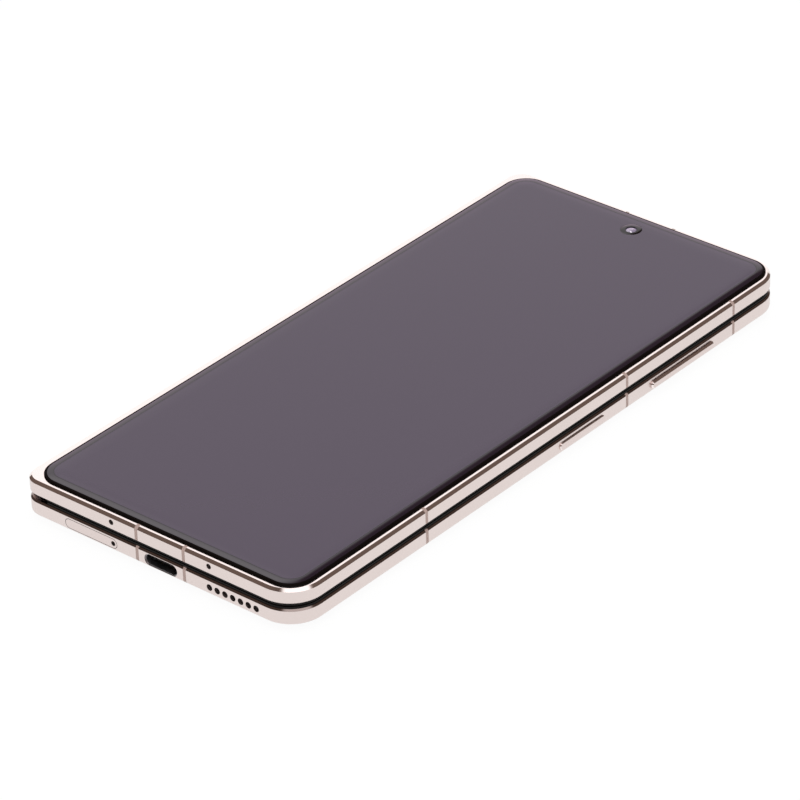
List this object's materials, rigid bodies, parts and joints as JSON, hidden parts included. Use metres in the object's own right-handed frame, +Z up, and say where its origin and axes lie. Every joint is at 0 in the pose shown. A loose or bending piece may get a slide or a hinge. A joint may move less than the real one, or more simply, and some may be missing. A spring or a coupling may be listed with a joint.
{
  "type": "folding smartphone",
  "caption": "Book-style folding smartphone, closed, with a cover screen, geared spine hinge, folding inner display, side keys, card tray, USB-C port and rear camera island.",
  "frame": {"origin": "middle of the closed phone's footprint, at the level it rests on", "axes": "+X from the spine to the free edge, +Y from the bottom edge with the port to the top edge, +Z up out of the cover screen"},
  "size_m": [0.0736, 0.16, 0.0106],
  "materials": {
    "satin_frame": "satin, pale champagne, with polished rims",
    "satin_spine": "satin, pale champagne",
    "band_plastic": "matte",
    "rear_glass": "opaque, satin",
    "dark_glass": "polished",
    "lens_glass": "polished, coated",
    "cover_glass": "polished, with curved edges",
    "camera_body": "matte",
    "led_plastic": "clear lens over phosphor",
    "board": "solder mask",
    "sheet_steel": "rolled sheet",
    "battery_foil": "laminated pouch",
    "coil": "wound copper",
    "black_plastic": "moulded",
    "flex_display": "folding film",
    "bezel_rubber": "matte",
    "screw_steel": "plated",
    "display_panel": "smooth, unlit",
    "hinge_steel": "sintered steel",
    "pin_steel": "ground",
    "spring_steel": "pressed",
    "gear_steel": "sintered steel"
  },
  "bodies": {
    "main_half": {"main_frame": "satin_frame", "main_bands": "band_plastic", "back_panel": "rear_glass", "camera_ring": "satin_frame", "camera_glass": "dark_glass", "wide_camera": "camera_body", "ultrawide_camera": "camera_body", "tele_camera": "camera_body", "camera_lenses": "lens_glass", "flash_led": "led_plastic", "main_board": "board", "board_shields": "sheet_steel", "main_battery": "battery_foil", "charging_coil": "coil", "sub_board": "board", "usb_shell": "sheet_steel", "usb_tongue": "black_plastic", "loudspeaker": "black_plastic", "vibration_motor": "sheet_steel", "card_socket": "sheet_steel", "power_switch": "black_plastic", "rocker_switch": "black_plastic", "main_flex": "flex_display", "main_bezel": "bezel_rubber", "inner_camera": "camera_body", "main_screws": "screw_steel", "main_arms": "hinge_steel", "main_gear_arm": "hinge_steel"},
    "spine": {"spine_cover": "satin_spine", "spine_caps": "hinge_steel", "hinge_bases": "hinge_steel", "gear_base": "hinge_steel", "hinge_pins": "pin_steel", "detent_springs": "spring_steel", "fold_flex": "flex_display"},
    "cover_half": {"cover_frame": "satin_frame", "cover_bands": "band_plastic", "cover_glass": "cover_glass", "cover_gasket": "black_plastic", "cover_panel": "display_panel", "cover_camera": "camera_body", "cover_board": "board", "cover_shield": "sheet_steel", "cover_battery": "battery_foil", "earpiece": "black_plastic", "cover_flex": "flex_display", "cover_bezel": "bezel_rubber", "cover_screws": "screw_steel", "cover_arms": "hinge_steel", "cover_gear_arm": "hinge_steel"},
    "main_wing_plate": {"main_wing": "sheet_steel"},
    "cover_wing_plate": {"cover_wing": "sheet_steel"},
    "lower_idler_gear": {"lower_idler": "gear_steel"},
    "upper_idler_gear": {"upper_idler": "gear_steel"},
    "card_tray_body": {"card_tray": "satin_frame"},
    "power_key_body": {"power_key": "satin_frame"},
    "volume_rocker_body": {"volume_rocker": "satin_frame"}
  },
  "joints": [
    {"name": "spine_hinge", "type": "hinge", "parent": "main_half", "child": "spine", "pos_m": [-0.03508, 0, 0.00391], "axis": [0, -1, 0], "range_deg": [0, 90], "deforming": ["fold_flex"]},
    {"name": "cover_hinge", "type": "hinge", "parent": "spine", "child": "cover_half", "pos_m": [-0.03508, 0, 0.00771], "axis": [0, -1, 0], "range_deg": [0, 90]},
    {"name": "lower_idler_spin", "type": "hinge", "parent": "spine", "child": "lower_idler_gear", "pos_m": [-0.03508, 0, 0.00518], "axis": [0, -1, 0], "range_deg": [0, 90]},
    {"name": "upper_idler_spin", "type": "hinge", "parent": "spine", "child": "upper_idler_gear", "pos_m": [-0.03508, 0, 0.00644], "axis": [0, -1, 0], "range_deg": [-90, 0]},
    {"name": "main_wing_swing", "type": "hinge", "parent": "main_half", "child": "main_wing_plate", "pos_m": [-0.02332, 0, 0.0044], "axis": [0, 1, 0], "range_deg": [0, 9.53]},
    {"name": "cover_wing_swing", "type": "hinge", "parent": "cover_half", "child": "cover_wing_plate", "pos_m": [-0.02332, 0, 0.00722], "axis": [0, -1, 0], "range_deg": [0, 9.53]},
    {"name": "card_tray_slide", "type": "slide", "parent": "main_half", "child": "card_tray_body", "axis": [0, -1, 0], "range_m": [0, 0.022]},
    {"name": "power_key_press", "type": "slide", "parent": "main_half", "child": "power_key_body", "axis": [-1, 0, 0], "range_m": [0, 0.00025], "stiffness_N_per_m": 6000},
    {"name": "volume_rocker_tilt", "type": "hinge", "parent": "main_half", "child": "volume_rocker_body", "pos_m": [0.03438, 0.0435, 0.00335], "axis": [0, 0, 1], "range_deg": [-1.3, 1.3], "stiffness_Nm_per_rad": 1.5}
  ],
  "couplings": [
    {"joint": "cover_hinge", "follows": "spine_hinge", "ratio": 1},
    {"joint": "lower_idler_spin", "follows": "spine_hinge", "ratio": 1},
    {"joint": "upper_idler_spin", "follows": "spine_hinge", "ratio": -1},
    {"joint": "main_wing_swing", "follows": "spine_hinge", "ratio": 0.10584},
    {"joint": "cover_wing_swing", "follows": "spine_hinge", "ratio": 0.10584}
  ]
}
